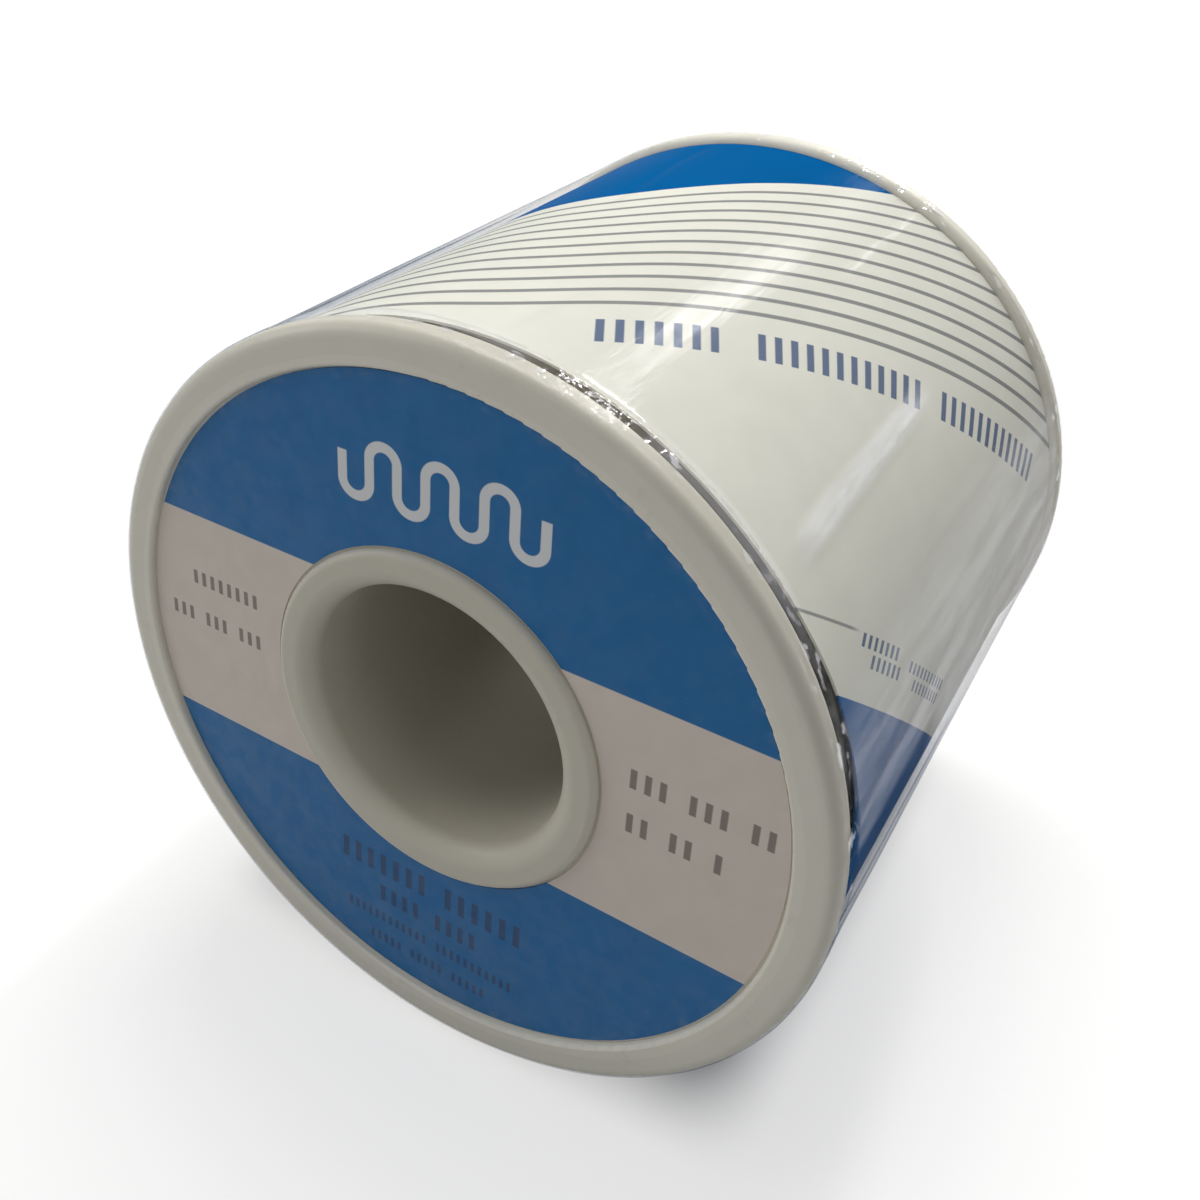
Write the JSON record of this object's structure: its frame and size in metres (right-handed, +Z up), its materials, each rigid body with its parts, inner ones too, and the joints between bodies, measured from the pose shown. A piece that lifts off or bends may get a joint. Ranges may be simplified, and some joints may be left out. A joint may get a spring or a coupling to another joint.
{
  "type": "solder wire spool",
  "caption": "Spool of soft solder wire in shrink film, with a label round the winding and one on the front face; its bore runs on a bench stand's spindle.",
  "frame": {"origin": "on the axis of the bore, half way between the two flanges", "axes": "+Y along the bore from the labelled front face to the rear face, +Z up with the spool lying on its rims, +X to the right seen from the front"},
  "size_m": [0.0552, 0.0532, 0.0552],
  "materials": {
    "spool_plastic": "ivory moulded polystyrene, satin",
    "solder": "bright drawn tin-lead solder",
    "face_label_print": "gloss coated paper, blue with a pale band",
    "wrap_label_print": "gloss coated paper, white with blue bands and thin grey lines",
    "clear_film": "clear shrink film, high gloss"
  },
  "bodies": {
    "root": {"front_spool_half": "spool_plastic", "rear_spool_half": "spool_plastic", "wire_inner_layers": "solder", "wire_outer_layer": "solder", "front_face_label": "face_label_print", "barrel_label": "wrap_label_print", "shrink_film": "clear_film"}
  },
  "joints": []
}
